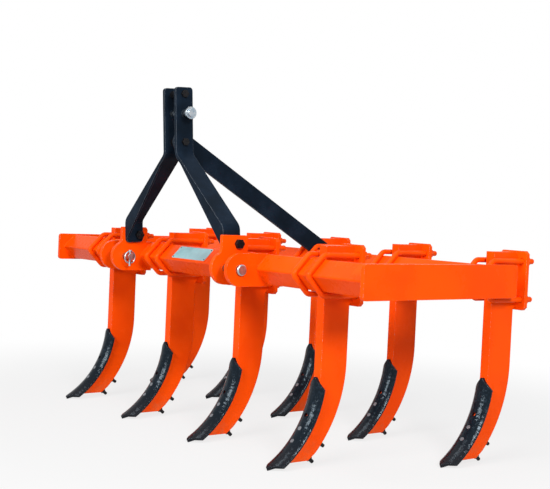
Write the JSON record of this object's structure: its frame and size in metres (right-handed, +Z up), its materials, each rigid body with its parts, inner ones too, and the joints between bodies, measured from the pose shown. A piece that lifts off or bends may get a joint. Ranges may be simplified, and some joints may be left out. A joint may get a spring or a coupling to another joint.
{
  "type": "rigid tine cultivator for a three-point hitch",
  "caption": "Orange tractor-mounted rigid tine cultivator with a twin-toolbar frame, curved tines, black reversible shares and a black A-frame mast.",
  "frame": {"origin": "on the ground, midway across the machine and midway between its foremost and rearmost points", "axes": "+X to the machine's left as it travels, +Y to its rear, +Z up"},
  "size_m": [1.956, 0.894, 1.2238],
  "materials": {
    "orange_paint": "glossy orange enamel",
    "black_paint": "satin black enamel",
    "black_share": "glossy black dip paint over forged steel",
    "bright_steel": "bright zinc-plated steel",
    "black_bolts": "black oxide steel"
  },
  "bodies": {
    "implement": {"front_toolbar": "orange_paint", "rear_toolbar": "orange_paint", "shank_front_1": "orange_paint", "share_front_1": "black_share", "clamp_plate_front_1": "orange_paint", "u_bolts_front_1": "orange_paint", "shank_front_2": "orange_paint", "share_front_2": "black_share", "clamp_plate_front_2": "orange_paint", "u_bolts_front_2": "orange_paint", "shank_front_3": "orange_paint", "share_front_3": "black_share", "clamp_plate_front_3": "orange_paint", "u_bolts_front_3": "orange_paint", "shank_front_4": "orange_paint", "share_front_4": "black_share", "clamp_plate_front_4": "orange_paint", "u_bolts_front_4": "orange_paint", "shank_rear_1": "orange_paint", "share_rear_1": "black_share", "clamp_plate_rear_1": "orange_paint", "u_bolts_rear_1": "orange_paint", "shank_rear_2": "orange_paint", "share_rear_2": "black_share", "clamp_plate_rear_2": "orange_paint", "u_bolts_rear_2": "orange_paint", "shank_rear_3": "orange_paint", "share_rear_3": "black_share", "clamp_plate_rear_3": "orange_paint", "u_bolts_rear_3": "orange_paint", "shank_rear_4": "orange_paint", "share_rear_4": "black_share", "clamp_plate_rear_4": "orange_paint", "u_bolts_rear_4": "orange_paint", "shank_rear_5": "orange_paint", "share_rear_5": "black_share", "clamp_plate_rear_5": "orange_paint", "u_bolts_rear_5": "orange_paint", "share_bolts_front": "bright_steel", "share_bolts_rear": "bright_steel", "side_plate_left": "orange_paint", "hitch_ear_inner_left": "orange_paint", "hitch_ear_outer_left": "orange_paint", "mast_leg_left": "black_paint", "side_plate_right": "orange_paint", "hitch_ear_inner_right": "orange_paint", "hitch_ear_outer_right": "orange_paint", "mast_leg_right": "black_paint", "mast_foot_bolts": "black_bolts", "brace": "black_paint", "brace_bolt": "black_bolts", "brace_spacers": "black_bolts", "mast_head_bolt": "black_bolts", "mast_head_spacer": "black_bolts"},
    "left_lower_pin": {"lower_pin_left": "bright_steel", "lower_linchpin_left": "bright_steel"},
    "right_lower_pin": {"lower_pin_right": "bright_steel", "lower_linchpin_right": "bright_steel"},
    "top_pin": {"top_link_pin": "bright_steel", "top_linchpin": "bright_steel"}
  },
  "joints": [
    {"name": "left_lower_pin_turn", "type": "hinge", "parent": "implement", "child": "left_lower_pin", "pos_m": [0.376, -0.392, 0.60354], "axis": [1, 0, 0], "continuous": true},
    {"name": "right_lower_pin_turn", "type": "hinge", "parent": "implement", "child": "right_lower_pin", "pos_m": [-0.376, -0.392, 0.60354], "axis": [1, 0, 0], "continuous": true},
    {"name": "top_pin_turn", "type": "hinge", "parent": "implement", "child": "top_pin", "pos_m": [0, -0.38803, 1.13053], "axis": [1, 0, 0], "continuous": true}
  ]
}
